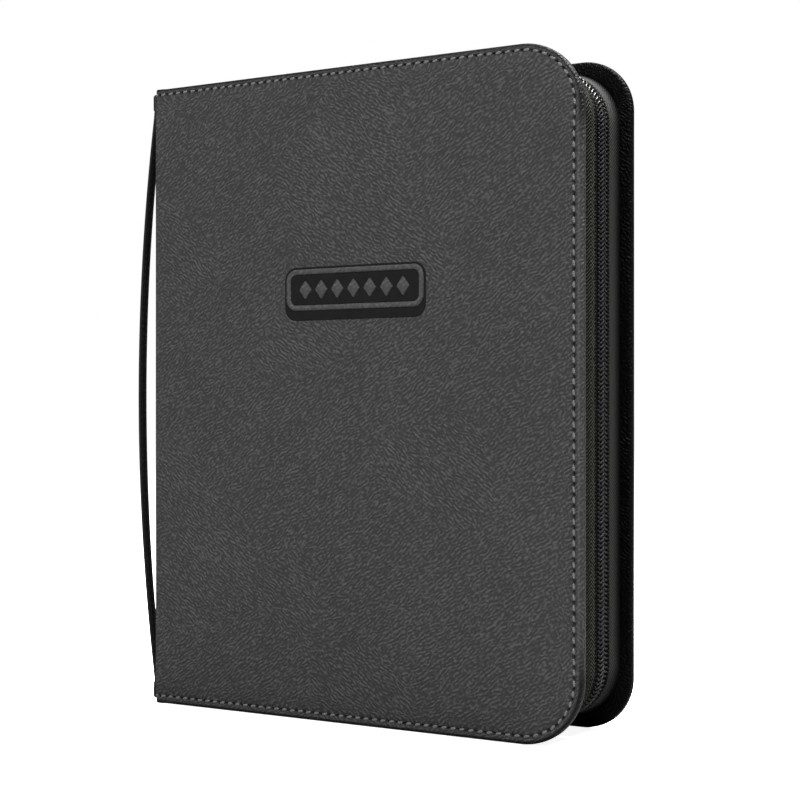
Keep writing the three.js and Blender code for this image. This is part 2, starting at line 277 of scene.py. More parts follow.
def hide_edges(look, color, ridge, inner):
    """A hide's colour with a painted highlight along its rim, painted shade on the rim near the ends,
    on its side face and in its needle holes, and its inner side darkened by a share as painted shade."""
    axes = look.node("SeparateXYZ", {0: look.coords}).outputs
    from_middle = look.math("ABSOLUTE", look.math("SUBTRACT", axes[1], HEIGHT / 2))
    near_end = look.span(from_middle, HEIGHT / 2 - 42, HEIGHT / 2 - 20)
    on_edge = look.span(axes[2], 0.7, 1.8, 1.0, 0.0)
    # Painted shade on the side face, darkening it by up to 0.4.
    side_shade = look.span(axes[2], -1.2, -0.3, 0.4, 0.0)
    # Painted highlight: a lighter band along the rounded rim, fading out towards the top and bottom ends.
    from_rim = look.math("ABSOLUTE", look.math("SUBTRACT", axes[2], RIM_HIGHLIGHT_INSET))
    rim = look.span(from_rim, 0.1, 0.7, 0.5, 0.0)
    rim_highlight = look.times(rim, look.math("SUBTRACT", 1.0, near_end))
    color = look.mix(rim_highlight, color, look.shade(ridge, 1.3, 2.2))
    # Painted shade: the inner side, turned in over the binder's inside, is darkened by the share given.
    if inner:
        inside = look.span(axes[2], -3.6, -1.0, inner, 0.0)
        color = look.mix(inside, color, (0.0004, 0.0004, 0.0004, 1))
    # Painted shade: the rim near the top and bottom ends is darkened almost to black.
    end_rim_shade = look.times(look.times(near_end, on_edge), 0.97)
    unshaded = look.math("SUBTRACT", 1.0, look.math("MAXIMUM", end_rim_shade, side_shade))
    # Painted shade: the needle holes, with the shaded rim and side face, mixed towards the shadow colour.
    holes = look.node("Attribute", attribute_name="tone").outputs["Fac"]
    return look.mix(look.times(holes, unshaded), SHADOW, color)


def leather(name, color, roughness, specular, relief, contrast, hide=True, inner=0.0):
    """Creased leather: ridges that lean one way, and the other way in patches, lighter partly as painted
    highlight.
    """
    look = Look(name, color, roughness, specular)
    wander = look.node("TexNoise", {"Vector": look.coords, "Scale": 0.25, "Detail": 2.0})
    shift = look.vector("MULTIPLY", wander.outputs["Color"], (1.6, 1.6, 1.6))
    place = look.vector("ADD", look.coords, shift)
    leans = []
    for turn in (math.radians(-55), math.radians(55)):
        inputs = {"Vector": place, "Scale": 0.36, "Frequency": 2.05, "Anisotropy": 0.76}
        wave = look.node("TexGabor", {**inputs, "Orientation": turn}, gabor_type="2D")
        leans.append(wave.outputs["Value"])
    patches = look.span(look.noise(look.coords, 0.016, 1.0), 0.50, 0.58)
    pebble = look.noise(look.scaled(place, (0.75, 0.75, 1.0)), 1.0, 1.0, 0.4)
    crease = look.added(look.blend_value(patches, *leans), pebble, 0.9)
    ridge = look.span(crease, 0.24, 0.98)
    tone = look.added(ridge, look.noise(look.coords, 0.05, 2.0), 0.25)
    # The ridges' lighter colour is partly the hide's grain and partly a painted highlight on the crests.
    shaded = look.shade(look.span(tone, 0.0, 1.0), 1 - contrast, 1 + contrast)
    look.link("Base Color", hide_edges(look, shaded, ridge, inner) if hide else shaded)
    look.link("Roughness", look.span(ridge, 0.0, 1.0, roughness + 0.12, roughness - 0.08))
    look.bump(ridge, relief)
    return look


def fabric(name, color, roughness, pitch, relief, contrast, rest=True, painted_shade_span=None):
    """Plain weave: threads over and under in both directions, with painted shade over a span across it."""
    look = Look(name, color, roughness, 0.06, rest=rest)
    axes = look.node("SeparateXYZ", {0: look.coords}).outputs
    waves = [look.math("SINE", look.times(axis, 2 * math.pi / pitch))
             for axis in (axes[0], axes[1] if rest else axes[2])]
    weave = look.span(look.times(*waves), -1.0, 1.0)
    fluff = look.noise(look.coords, 1.2, 4.0, 0.65)
    tone = look.math("ADD", look.times(weave, 0.5), look.times(fluff, 0.6))
    tinted = look.shade(look.span(tone, 0.1, 0.95), 1 - contrast, 1 + contrast)
    # Painted shade darkening the band across this span, towards the shadow colour.
    if painted_shade_span:
        tinted = look.mix(look.span(axes[1], *painted_shade_span), tinted, SHADOW)
    look.link("Base Color", tinted)
    look.bump(weave, relief)
    look.bump(fluff, relief)
    return look


ZIGZAG_WIDTH = 2.6
RIB_PITCH = 1.3


def herringbone(name, color):
    """Zip tape: a twill whose ribs zigzag across the tape, with painted shade at the edge by the cover."""
    look = Look(name, color, 0.7, 0.02)
    axes = look.node("SeparateXYZ", {0: look.coords}).outputs
    zigzag = look.math("PINGPONG", axes[1], ZIGZAG_WIDTH)
    climb = look.math("ADD", axes[0], look.times(zigzag, 0.85))
    rib = look.math("SINE", look.times(climb, 2 * math.pi / RIB_PITCH))
    fluff = look.noise(look.coords, 0.9, 3.0, 0.6)
    frayed = look.span(fluff, 0.3, 0.7)
    tone = look.times(look.span(rib, -0.8, 0.8), look.math("ADD", frayed, 0.25))
    # Painted shade of the front cover: darkest by the cover's edge, lightest by the teeth.
    across = look.span(axes[1], 0.5, 9.0, 0.45, 1.2)
    tone = look.times(look.span(tone, 0.12, 0.85), across)
    look.link("Base Color", look.shade(tone, 0.05, 5.0))
    look.bump(look.span(rib, -1.0, 1.0), 0.22)
    look.bump(fluff, 0.06)
    return look


def thread(name, color):
    """Sewing thread with a two-ply twist."""
    look = Look(name, color, 0.5, 0.4)
    axes = look.node("SeparateXYZ", {0: look.coords}).outputs
    climb = look.math("ADD", look.times(axes[0], 9.0), axes[1])
    twist = look.span(look.math("SINE", climb), -1.0, 1.0)
    fluff = look.noise(look.coords, 3.0, 2.0)
    look.link("Base Color", look.shade(look.times(twist, fluff), 0.72, 1.35))
    look.bump(twist, 0.12)
    return look


def speckled(name, color, roughness, scale, contrast, relief, specular=0.5, metallic=0.0, rest=True):
    """Plastic, metal, board or foam: two sizes of soft mottling and a fine grain."""
    look = Look(name, color, roughness, specular, metallic, rest)
    coarse = look.noise(look.coords, scale * 0.12, 2.0)
    fine = look.noise(look.coords, scale, 4.0, 0.6)
    tone = look.math("ADD", look.times(coarse, 0.5), look.times(fine, 0.5))
    look.link("Base Color", look.shade(look.span(tone, 0.3, 0.7), 1 - contrast, 1 + contrast))
    look.link("Roughness", look.span(fine, 0.2, 0.8, roughness - 0.08, roughness + 0.12))
    look.bump(fine, relief)
    return look


LOOKS = {
    "grey": leather("grey_leather", (0.040, 0.040, 0.0404), 0.52, 0.14, 0.26, 0.44),
    # The black hide's inner side is fully darkened: painted shade inside the binder.
    "black": leather("black_leather", (0.0055, 0.0055, 0.0057), 0.42, 0.04, 0.26, 0.6, inner=1.0),
    "band": leather("band_leather", (0.006, 0.006, 0.006), 0.40, 0.22, 0.05, 0.3, False),
    "thread": thread("grey_thread", (0.12, 0.12, 0.12)),
    "dark_thread": thread("black_thread", (0.02, 0.02, 0.02)),
    "gusset": fabric("gusset_fabric", (0.016, 0.016, 0.0157), 0.6, 1.3, 0.16, 0.9),
    # The back wall's painted shade, darkening it towards the corner where it meets the back cover.
    "back_gusset": fabric("back_gusset_fabric", (0.020, 0.020, 0.0196), 0.6, 1.3, 0.16, 0.9,
                          painted_shade_span=(2.6, 7.2)),
    "lining": fabric("lining_fabric", (0.014, 0.014, 0.015), 0.8, 0.7, 0.08, 0.4, rest=False),
    "hinge_cloth": fabric("hinge_cloth", (0.014, 0.014, 0.015), 0.8, 0.7, 0.08, 0.4),
    "tape": herringbone("zip_tape", (0.0085, 0.0085, 0.0076)),
    # Near-black web between the tape and the teeth: a painted shadow for the gap there.
    "backing": fabric("zip_shadow_web", (0.0006, 0.0006, 0.0006), 0.8, 0.6, 0.06, 0.4),
    "coil": speckled("zip_coil", (0.0075, 0.0075, 0.0075), 0.30, 1.4, 0.3, 0.02, specular=0.4),
    "coil_thread": thread("coil_thread", (0.035, 0.035, 0.035)),
    "metal": speckled("dark_metal", (0.10, 0.10, 0.105), 0.34, 1.1, 0.2, 0.015, metallic=0.9),
    "clamp": speckled("clamp_metal", (0.10, 0.10, 0.105), 0.38, 1.1, 0.2, 0.015, metallic=0.9, rest=False),
    "film": speckled("page_film", (0.02, 0.021, 0.023), 0.22, 0.25, 0.2, 0.05),
    "margin": speckled("binding_film", (0.02, 0.021, 0.023), 0.4, 0.5, 0.3, 0.05, rest=False),
    "board": speckled("grey_board", (0.05, 0.047, 0.042), 0.85, 2.5, 0.25, 0.06, rest=False),
    "foam": speckled("foam_padding", (0.05, 0.05, 0.05), 0.9, 3.0, 0.35, 0.12, rest=False),
    "badge": leather("badge_leather", (0.052, 0.052, 0.0526), 0.5, 0.12, 0.06, 0.3, False),
    "recess": speckled("badge_recess", (0.008, 0.008, 0.0083), 0.6, 2.0, 0.2, 0.03, specular=0.04),
}


# ---------------------------------------------------------------- mesh helpers

def piece(name, points, faces, rest, look, slot, smooth=40.0):
    """A mesh object from points in the binder's layout. Rest holds texture places in millimetres."""
    mesh = bpy.data.meshes.new(name)
    placed = (np.asarray(points, float) + (ORIGIN.x, ORIGIN.y, 0)) * MM
    mesh.from_pydata(placed.tolist(), [], [tuple(face) for face in faces])
    store = mesh.attributes.new("rest", "FLOAT_VECTOR", "POINT")
    store.data.foreach_set("vector", np.asarray(rest, np.float32).ravel())
    mesh.polygons.foreach_set("use_smooth", [True] * len(mesh.polygons))
    mesh.set_sharp_from_angle(angle=math.radians(smooth))
    mesh.materials.append(LOOKS[look].material)
    mesh.update()
    made = bpy.data.objects.new(name, mesh)
    bpy.context.scene.collection.objects.link(made)
    return made


def thicken(made, depth):
    """Gives a skin its thickness, inwards from the face that shows."""
    modifier = made.modifiers.new("skin", "SOLIDIFY")
    modifier.thickness = depth * MM
    modifier.offset = -1
    bpy.context.view_layer.update()
    solid = bpy.data.meshes.new_from_object(made.evaluated_get(bpy.context.evaluated_depsgraph_get()))
    made.modifiers.clear()
    solid.name = made.data.name + "_solid"
    made.data = solid


def ease(value, low, high):
    share = np.clip((value - low) / (high - low), 0, 1)
    return share * share * (3 - 2 * share)


def merge(*parts):
    """Joins (points, faces, rest) triples into one."""
    points, faces, rest = [], [], []
    count = 0
    for part_points, part_faces, part_rest in parts:
        points.append(np.asarray(part_points, float))
        rest.append(np.asarray(part_rest, float))
        faces += [tuple(index + count for index in face) for face in part_faces]
        count += len(part_points)
    return np.concatenate(points), faces, np.concatenate(rest)


def strip_faces(rings, length, closed):
    """Quads between successive rings of the same length."""
    faces = []
    for ring in range(rings - 1):
        for k in range(length if closed else length - 1):
            after = (k + 1) % length
            faces.append((ring * length + k, ring * length + after,
                          (ring + 1) * length + after, (ring + 1) * length + k))
    return faces


def capped(rings, around, flip=False):
    """Faces of a tube of closed rings, with a flat face at each end."""
    last = (rings - 1) * around
    ends = [tuple(range(around)), tuple(last + k for k in reversed(range(around)))]
    return strip_faces(rings, around, True) + [end[::-1] if flip else end for end in ends]


def run_along(line):
    """Length along a line of points, up to each of them."""
    return np.concatenate([[0], np.cumsum(np.linalg.norm(np.diff(line, axis=0), axis=1))])


def points_at(at, line):
    """Points of a flat line at lengths along it."""
    length = run_along(line)
    return np.stack([np.interp(at, length, line[:, axis]) for axis in (0, 1)], axis=1)


def capsules(start, end, up, side_radius, up_radius, around=8, rings=7):
    """Short rounded rods from start to end. Rest is (along, around, 0)."""
    start, end, up = (np.asarray(value, float) for value in (start, end, up))
    axis = end - start
    length = np.linalg.norm(axis, axis=1, keepdims=True)
    direction = axis / length
    side = np.cross(direction, up)
    side /= np.linalg.norm(side, axis=1, keepdims=True)
    rise = np.cross(side, direction)
    share = (np.arange(rings) + 0.5) / rings
    girth = (1 - np.abs(2 * share - 1) ** 3) ** (1 / 2.2)
    angle = np.arange(around) * 2 * math.pi / around
    count = len(start)
    middle = start[:, None, None] + axis[:, None, None] * share[None, :, None, None]
    across = side[:, None, None] * (np.cos(angle) * side_radius)[None, None, :, None]
    upward = rise[:, None, None] * (np.sin(angle) * up_radius)[None, None, :, None]
    ring = middle + (across + upward) * girth[None, :, None, None]
    ring = ring.reshape(count, rings * around, 3)
    points = np.concatenate([ring, start[:, None], end[:, None]], axis=1)
    along = np.repeat(share * float(length.mean()), around)
    local = np.stack([along, np.tile(angle * 2, rings), np.zeros(rings * around)], axis=1)
    ends = np.array([[0, 0, 0], [float(length.mean()), 0, 0]])
    rest = np.tile(np.concatenate([local, ends]), (count, 1))
    one = strip_faces(rings, around, True)
    low, high = rings * around, rings * around + 1
    last = (rings - 1) * around
    for k in range(around):
        after = (k + 1) % around
        one += [(low, after, k), (high, last + k, last + after)]
    size = rings * around + 2
    faces = [tuple(index + block * size for index in face) for block in range(count) for face in one]
    return points.reshape(-1, 3), faces, rest


# ---------------------------------------------------------------- leather covers

def edge_path(left, step, radius):
    """Stations round the cover's edge, bottom to top, and the direction into the cover at each."""
    reach, arc = WIDTH - radius - left, radius * math.pi / 2
    ends = np.cumsum((reach, arc, HEIGHT - 2 * radius, arc, reach))
    places, inward = [], []

    def corner(turn, centre_z):
        out = np.array((math.cos(turn), math.sin(turn)))
        return (WIDTH - radius, centre_z) + radius * out, -out

    for s in np.linspace(0, ends[-1], int(round(ends[-1] / step)) + 1):
        if s < ends[0]:
            place, into = (left + s, 0), (0, 1)
        elif s < ends[1]:
            place, into = corner((s - ends[0]) / radius - math.pi / 2, radius)
        elif s < ends[2]:
            place, into = (WIDTH, radius + s - ends[1]), (-1, 0)
        elif s < ends[3]:
            place, into = corner((s - ends[2]) / radius, HEIGHT - radius)
        else:
            place, into = (WIDTH - radius - (s - ends[3]), HEIGHT), (0, -1)
        places.append(place)
        inward.append(into)
    return np.array(places), np.array(inward)


def seam_share(places):
    """Share of the stitch inset at each station: less by the top and bottom edges."""
    z = places[:, 1]
    share = 1 - 0.28 * ease(z, HEIGHT - 36, HEIGHT - 6) - 0.12 * ease(z, 36, 6)
    return share[:, None]


def resampled(places, inward, inset, pitch, margin=0.0):
    """Evenly pitched stations on the line a fixed inset from the edge: place, tangent, the
    direction into the cover, and length along the line."""
    line = places + inward * inset
    length = run_along(line)
    usable = length[-1] - 2 * margin
    count = int(usable // pitch)
    at = margin + (usable - count * pitch) / 2 + np.arange(count + 1) * pitch
    place = points_at(at, line)
    into = np.stack([np.interp(at, length, inward[:, axis]) for axis in (0, 1)], axis=1)
    into /= np.linalg.norm(into, axis=1, keepdims=True)
    tangent = np.stack([into[:, 1], -into[:, 0]], axis=1)
    return place, tangent, into, at


def fold(a, z, depth, mirror):
    """From flat leather to the binder: along a cover, round the spine's corner, over the spine."""
    arc = SPINE_R * math.pi / 2
    turn = np.clip((SPINE_R - a) / SPINE_R, 0, math.pi / 2)
    beyond = np.maximum(SPINE_R - arc - a, 0)
    at_corner = (a < SPINE_R) & (beyond < 0.3)
    reach = SPINE_R - np.where(at_corner, np.minimum(depth, SPINE_R * 0.92), depth)
    x = np.where(a > SPINE_R, a, SPINE_R - np.sin(turn) * reach)
    y = SPINE_R - np.cos(turn) * reach + beyond
    return np.stack([x, DEPTH - y if mirror else y, z], axis=-1)


def thickness(a):
    """Of the cover or the spine under the hide, with both slimmed to a hinge at the corner."""
    near_cover = HINGE_THICK + (COVER_THICK - HINGE_THICK) * ease(a, 3.2, 5.4)
    near_spine = SPINE_THICK + (HINGE_THICK - SPINE_THICK) * ease(a, -5.0, -3.2)
    return np.where(a > 0, near_cover, near_spine)


# Inset from the edge, depth under the face, and share of the cover's thickness, from the
# inner turn-in round the edge to the padded face. The dip at the stitch inset is the seam.
EDGE_RINGS = (
    (9.5, 0.2, 1), (5.0, 0.22, 1), (1.3, 0.2, 1), (0.4, 0.05, 1), (0.04, -0.45, 1),
    (-0.04, 0.0, 0.5), (0.0, 0.95, 0), (0.12, 0.55, 0), (0.38, 0.25, 0), (0.8, 0.07, 0),
    (1.35, 0.0, 0), (2.1, 0.0, 0), (2.6, 0.05, 0), (2.95, 0.2, 0), (3.3, 0.3, 0),
    (3.65, 0.2, 0), (4.05, 0.05, 0), (4.9, -0.09, 0), (6.1, -0.18, 0), (7.6, -0.26, 0),
    (9.5, -0.32, 0),
)
CROWN = 0.32
FACE_INSET = EDGE_RINGS[-1][0]

# Signed distance of each ring from the edge, over the leather.
EDGE_RUN = run_along(np.array([(inset, depth + share * COVER_THICK)
                               for inset, depth, share in EDGE_RINGS]))
EDGE_RUN -= EDGE_RUN[-1] - FACE_INSET

Cover = namedtuple("Cover", "side left mirror lap_rise tuck radius")
FRONT = Cover("front", -(DEPTH - LAP - SPINE_R * 0.43), False, 0.0, 0.6, FRONT_CORNER)
BACK = Cover("back", -LAP, True, LAP_RISE, 0.0, BACK_CORNER)


def lap_lift(cover, a):
    """How far the hide stands out where it laps over the other one."""
    return cover.lap_rise * (1 - ease(a, 0.5, 5.0))


def tucked(cover, a):
    """How far the hide's top and bottom draw in towards its lapped end."""
    return (cover.tuck * (1 - ease(a, cover.left, cover.left + LAP + 2)))[:, None]


def face_grid(cover, border):
    """Places that fill the face inside its border: the straight end's, and the inner ones."""
    low, high = border[0, 1], border[-1, 1]
    rows = np.linspace(low, high, int((high - low) / FACE_STEP) + 1)[1:-1]
    arc_end = SPINE_R - SPINE_R * math.pi / 2
    columns = set(np.round(np.linspace(arc_end, SPINE_R, 9), 3))
    columns |= set(np.round(np.arange(SPINE_R + 1.2, WIDTH - FACE_INSET - 1.5, FACE_STEP), 3))
    columns |= set(np.round(np.arange(arc_end - 1.2, cover.left + 1.0, -FACE_STEP), 3))
    inner = []
    for a in sorted(columns):
        for z in rows:
            across, up = a - (WIDTH - cover.radius), cover.radius - min(z, HEIGHT - z)
            from_centre = math.hypot(across, up)
            if across > 0 and up > 0 and from_centre > cover.radius - FACE_INSET - FACE_CLEAR:
                continue
            if low + FACE_CLEAR < z < high - FACE_CLEAR:
                inner.append((a, z))
    return [(cover.left, z) for z in rows[::-1]], inner


def seam_holes(places, inward):
    """At each station, 1 at a needle hole and 0 between two."""
    stitch_at = resampled(places, inward, STITCH_INSET, STITCH_PITCH, 1.0)[3]
    along = (run_along(places + inward * STITCH_INSET) - stitch_at[0]) / STITCH_PITCH - 0.5
    return np.exp(-(((along - np.round(along)) * STITCH_PITCH) / HOLE_REACH) ** 2)


def cover_skin(cover, look):
    """One hide: a cover's face with turned edges, carried round the spine's corner."""
    places, inward = edge_path(cover.left, RIM_STEP, cover.radius)
    count = len(places)
    seam_inward = inward * seam_share(places)
    hole = seam_holes(places, seam_inward)
    pull = inward * tucked(cover, places[:, 0])
    thick = thickness(places[:, 0])
    points, rest, tone = [], [], []
    for (inset, depth, share), run in zip(EDGE_RINGS, EDGE_RUN):
        slim = thick / COVER_THICK if inset < 1 else 1
        level = depth * slim + share * thick
        # Painted shade in the needle holes: their tone is lowered there.
        dark = np.zeros(count)
        if share == 0 and abs(inset - STITCH_INSET) < 0.8:
            beside = math.exp(-((inset - STITCH_INSET) / 0.5) ** 2)
            level = level + hole * HOLE_DEPTH * beside
            dark = np.clip(hole * beside * 1.5, 0, 1)
        by_seam = 0 < inset < 4.5 and share == 0
        flat = places + (seam_inward if by_seam else inward) * inset + pull
        level = level - lap_lift(cover, places[:, 0])
        points.append(fold(flat[:, 0], flat[:, 1], level, cover.mirror))
        rest.append(np.column_stack([places + inward * run, np.full(count, run)]))
        tone.append(1 - dark)
    faces = strip_faces(len(EDGE_RINGS), count, False)

    border = places + inward * FACE_INSET + pull
    end_column, inner = face_grid(cover, border)
    flat = np.array([*map(tuple, border), *end_column, *inner])
    loop = count + len(end_column)
    edges = [(k, (k + 1) % loop) for k in range(loop)]
    found = delaunay_2d_cdt([Vector(place) for place in flat], edges, [], 1, 1e-5)
    first_inner = (len(EDGE_RINGS) - 1) * count
    faces += [tuple(first_inner + found[3][index][0] for index in face) for face in found[2]]
    extra = flat[count:]
    level = -CROWN - lap_lift(cover, extra[:, 0])
    points.append(fold(extra[:, 0], extra[:, 1], level, cover.mirror))
    rest.append(np.column_stack([extra, np.full(len(extra), 10.0)]))
    tone.append(np.ones(len(extra)))

    made = piece(cover.side + "_hide", np.concatenate(points), faces, np.concatenate(rest),
                 look, cover.side + "_leather", 60)
    # The tone attribute carries the needle holes' painted shade into the material.
    store = made.data.attributes.new("tone", "FLOAT", "POINT")
    store.data.foreach_set("value", np.concatenate(tone).astype(np.float32))
    outward = 1 if cover.mirror else -1
    widest = max(made.data.polygons[-400:], key=lambda face: abs(face.normal.y))
    if widest.normal.y * outward < 0:
        made.data.flip_normals()
    thicken(made, SKIN)
    return made


def cover_stitches(cover, look, extra_line=None):
    """Thread along the cover's edge seam, and down the lap where there is one."""
    places, inward = edge_path(cover.left, RIM_STEP, cover.radius)
    place, tangent, into, _ = resampled(places, inward * seam_share(places), STITCH_INSET,
                                        STITCH_PITCH, 1.0)
    if extra_line is not None:
        zs = np.arange(12.0, HEIGHT - 12.0, STITCH_PITCH)
        place = np.concatenate([place, np.stack([np.full(len(zs), extra_line), zs], axis=1)])
        tangent = np.concatenate([tangent, np.tile((0.0, 1.0), (len(zs), 1))])
        into = np.concatenate([into, np.tile((1.0, 0.0), (len(zs), 1))])
    lift = lap_lift(cover, place[:, 0])
    place = place + into * tucked(cover, place[:, 0])
    reach = tangent * STITCH_LENGTH / 2 + into * STITCH_SLANT
    level = np.full(len(place), 0.04)
    start = np.column_stack([place - reach, level])
    end = np.column_stack([place + reach, level])
    up = np.tile((0.0, 0.0, -1.0), (len(place), 1))
    points, faces, rest = capsules(start, end, up, 0.47, 0.32)
    depth = points[:, 2] - np.repeat(lift, len(points) // len(place))
    folded = fold(points[:, 0], points[:, 1], depth, cover.mirror)
    return piece(cover.side + "_stitches", folded, faces, rest, look, cover.side + "_leather")


def blend_corner(made):
    """Bakes the piece's transform into its mesh."""
    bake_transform(made)


front_skin = cover_skin(FRONT, "grey")
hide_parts("front_cover_leather", "spine_leather")
blend_corner(front_skin)
blend_corner(cover_stitches(FRONT, "thread"))

back_skin = cover_skin(BACK, "black")
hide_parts("back_cover_leather")
blend_corner(back_skin)
blend_corner(cover_stitches(BACK, "dark_thread", BACK.left + 2.0))


# ---------------------------------------------------------------- zip wall

wall_places, wall_inward = edge_path(WALL_START, 1.2, WALL_CORNER)


def swept(section):
    """A closed (y, outward) section carried round the zip wall's path."""
    length = run_along(wall_places + wall_inward * WALL_INSET)
    section = np.asarray(section, float)
    around = len(section)
    across = run_along(section)
    points, rest = [], []
    for place, into, s in zip(wall_places, wall_inward, length):
        x = place[0] + into[0] * (WALL_INSET - section[:, 1])
        z = place[1] + into[1] * (WALL_INSET - section[:, 1])
        points.append(np.column_stack([x, section[:, 0], z]))
        rest.append(np.column_stack([np.full(around, s), across, np.zeros(around)]))
    return np.concatenate(points), capped(len(wall_places), around), np.concatenate(rest)


def band(y_low, y_high, outer, thick, crown=0.0, rounding=0.3, steps=9, sink=0.0):
    """Section of a band: an outer face with rounded edges and a crown, and a parallel inner face.
    Sink is how far its lower edge lies below the rest."""
    section, under = [], []
    for k in range(steps + 1):
        share = k / steps
        y = y_low + (y_high - y_low) * share
        sunk = sink * (1 - share) ** 2
        rise = outer + crown * math.sin(math.pi * share) - sunk
        for from_edge in (y - y_low, y_high - y):
            rise -= max(0, rounding - from_edge) * 0.5
        section.append((y, rise))
        under.append((y, outer - thick - sunk))
    return section + under[::-1]


def flared(y_low, y_high, thick=0.7, flare=1.4, steps=14):
    """Section of the back wall: gently crowned, then curving out to meet the back cover."""
    share = np.linspace(0, 1, steps + 1)
    y = y_low + (y_high - y_low) * share
    rise = 0.1 + 0.25 * np.sin(math.pi * share) - 0.3 * (share == 0) + flare * ease(share, 0.45, 1.25)
    return [*zip(y, rise), *zip(y[::-1], rise[::-1] - thick)]


def bead(y, outward, radius_y, radius_out, around=10):
    """Section of a round cord or folded edge."""
    turns = [2 * math.pi * k / around for k in range(around)]
    return [(y - radius_y * math.cos(turn), outward + radius_out * math.sin(turn)) for turn in turns]


def rider(name, shape, look, slot, body, *nodes):
    """A piece that moves with one body, and the CAD nodes it stands for."""
    made = piece(name, *shape, look, slot)
    if nodes:
        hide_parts(*nodes)
    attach(made, body)


# Y of the zip wall's parts, from the front cover to the back one.
FRONT_WALL = (3.5, 13.4)
FRONT_TAPE = (12.6, 21.0)
FRONT_WEB = (23.5, 28.55)
BACK_WEB = (29.05, 34.0)
BACK_TAPE = (32.9, 34.2)
BACK_WALL = (33.6, 40.6)


def zip_wall():
    rider("front_wall_fabric", swept(band(*FRONT_WALL, 0.0, 1.0, 0.35, 0.6)), "gusset", "lining",
          "front_cover", "front_gusset")
    rider("back_wall_fabric", swept(flared(*BACK_WALL)), "back_gusset", "lining",
          "back_cover", "back_gusset")
    front_tape = merge(swept(band(*FRONT_TAPE, 0.45, 0.5, 0.15, steps=14, sink=1.2)),
                       swept(bead(FRONT_TAPE[1] - 0.1, 0.25, 0.6, 0.5)))
    rider("front_tape_fabric", front_tape, "tape", "zip_tape", "front_cover", "front_zip_tape")
    rider("back_tape_fabric", swept(band(*BACK_TAPE, -0.1, 0.5, 0.1)), "tape", "zip_tape",
          "back_cover", "back_zip_tape")
    # The webs are near black: a painted shadow in the gap beside the teeth.
    for side, span in (("front", FRONT_WEB), ("back", BACK_WEB)):
        rider(side + "_tape_web", swept(band(*span, -1.0, 0.4)), "backing", "zip_tape",
              side + "_cover")


def on_wall(place, tangent, into, y, ahead, outward):
    """A point near the zip wall, given its station, its Y, and how far it is ahead and outward."""
    flat = place + tangent * np.reshape(ahead, (-1, 1)) - into * np.reshape(outward, (-1, 1))
    return np.column_stack([flat[:, 0], np.full(len(flat), y), flat[:, 1]])


def coil_half(side, inner_y, outer_y, thread_y, offset, thread_look):
    """Moulded teeth that lean towards the middle of the zip, and the thread that holds them."""
    fine, into_fine = edge_path(WALL_START, 0.5, WALL_CORNER)
    place, tangent, into, _ = resampled(fine, into_fine, WALL_INSET + 0.5, TOOTH_PITCH, 0.6)
    shifted = place + tangent * offset
    up = np.column_stack([-into[:, 0], np.zeros(len(into)), -into[:, 1]])
    reach_y = outer_y + (inner_y - outer_y) * 0.3
    head = on_wall(shifted, tangent, into, inner_y, 0.75, 0.32)
    knee = on_wall(shifted, tangent, into, reach_y, -0.45, 0.4)
    foot = on_wall(shifted, tangent, into, outer_y, -1.0, -0.35)
    arm = capsules(knee, head, up, 0.38, 0.5, 8, 6)
    leg = capsules(foot, knee * 0.7 + head * 0.3, up, 0.36, 0.45, 8, 5)
    body = side + "_cover"
    rider(side + "_coil_teeth", merge(arm, leg), "coil", "zip_coil", body, side + "_zip_coil")
    low = on_wall(place, tangent, into, thread_y, -0.35, -0.12)
    high = on_wall(place, tangent, into, thread_y, 0.35, -0.12)
    rows = capsules(low, high, up, 0.38, 0.42, 7, 4)
    rider(side + "_coil_thread", rows, thread_look, "zip_tape", body)


zip_wall()
coil_half("front", ZIP_Y + 0.15, 26.7, 25.9, 0.0, "dark_thread")
coil_half("back", ZIP_Y - 0.15, 31.1, 32.3, 0.55, "coil_thread")


# ---------------------------------------------------------------- hinge linings

def hinge_lining(side, mirror):
    """The lining cloth that carries on from a cover to the spine, inside the fold."""
    levels = np.linspace(1.6, HEIGHT - 1.6, 60)
    line = [(7.6, 3.42), (6.0, 3.5), (4.8, 3.5), (3.9, 3.42), (3.35, 3.6), (3.0, 4.1),
            (2.86, 5.0), (2.82, 6.6)]
    section = np.array(line + [(x - 0.2, y - 0.2) for x, y in reversed(line)])
    around = len(section)
    y = DEPTH - section[:, 1] if mirror else section[:, 1]
    points, rest = [], []
    for level in levels:
        points.append(np.column_stack([section[:, 0], y, np.full(around, level)]))
        rest.append(np.column_stack([run_along(section), np.full(around, level), np.zeros(around)]))
    made = piece(side + "_hinge_lining", np.concatenate(points), capped(len(levels), around),
                 np.concatenate(rest), "hinge_cloth", "lining")
    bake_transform(made)


hinge_lining("front", False)
hinge_lining("back", True)


# ---------------------------------------------------------------- badge, strap and small parts

def rounded(width, height, radius, steps=7):
    """A rounded rectangle about the origin, and the direction into it at each station."""
    places, inward = [], []
    for quarter, (sx, sy) in enumerate(((1, -1), (1, 1), (-1, 1), (-1, -1))):
        for k in range(steps + 1):
            turn = -math.pi / 2 + quarter * math.pi / 2 + k / steps * math.pi / 2
            out = (math.cos(turn), math.sin(turn))
            places.append((sx * (width / 2 - radius) + radius * out[0],
                           sy * (height / 2 - radius) + radius * out[1]))
            inward.append((-out[0], -out[1]))
    return np.array(places), np.array(inward)


def moulded(outline, rings):
    """A closed solid from rings of (inset, height) on an outline, with flat ends. Local (u, v, h)."""
    places, inward = outline
    points = np.concatenate([np.column_stack([places + inward * inset, np.full(len(places), height)])
                             for inset, height in rings])
    return points, capped(len(rings), len(places), True), points.copy()


